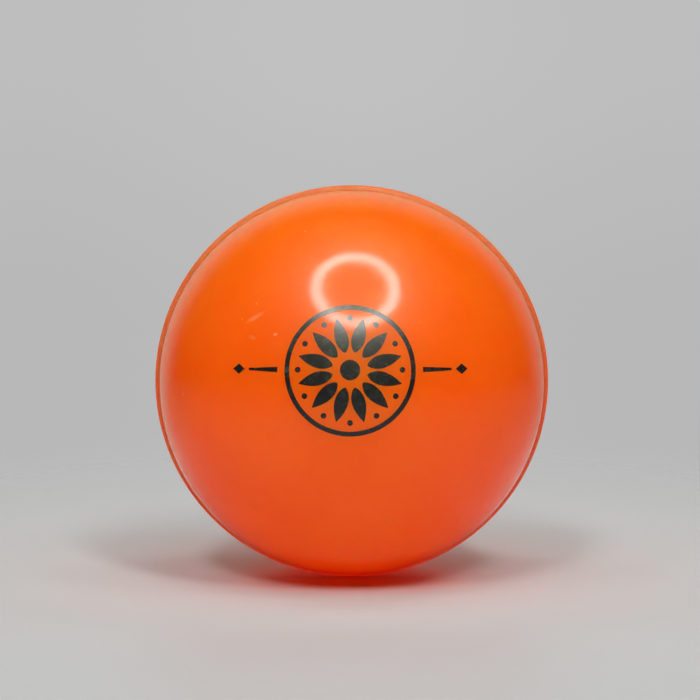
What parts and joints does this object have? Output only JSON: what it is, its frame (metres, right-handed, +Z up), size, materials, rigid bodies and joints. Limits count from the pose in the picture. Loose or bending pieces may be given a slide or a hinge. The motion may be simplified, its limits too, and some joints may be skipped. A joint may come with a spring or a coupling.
{
  "type": "cricket windball",
  "caption": "Hollow soft-plastic cricket practice ball: lapped half shells, a raised seam ring keyed over their joint, and a flush air plug at the rear pole.",
  "frame": {"origin": "centre of the ball", "axes": "+Z up; Y is the ball's axis, normal to the seam's plane: -Y is the printed front, +Y the rear with the air plug; the seam lies in XZ"},
  "size_m": [0.072, 0.0704, 0.072],
  "materials": {
    "orange_shell": "glossy soft PVC, bright orange all through",
    "orange_seam": "satin-gloss soft PVC, slightly deeper orange",
    "plug_rubber": "matt soft rubber, orange-red",
    "print_ink": "black screen-print ink, satin"
  },
  "bodies": {
    "root": {"front_half_shell": "orange_shell", "rear_half_shell": "orange_shell", "seam_ring": "orange_seam", "air_plug": "plug_rubber"}
  },
  "joints": []
}
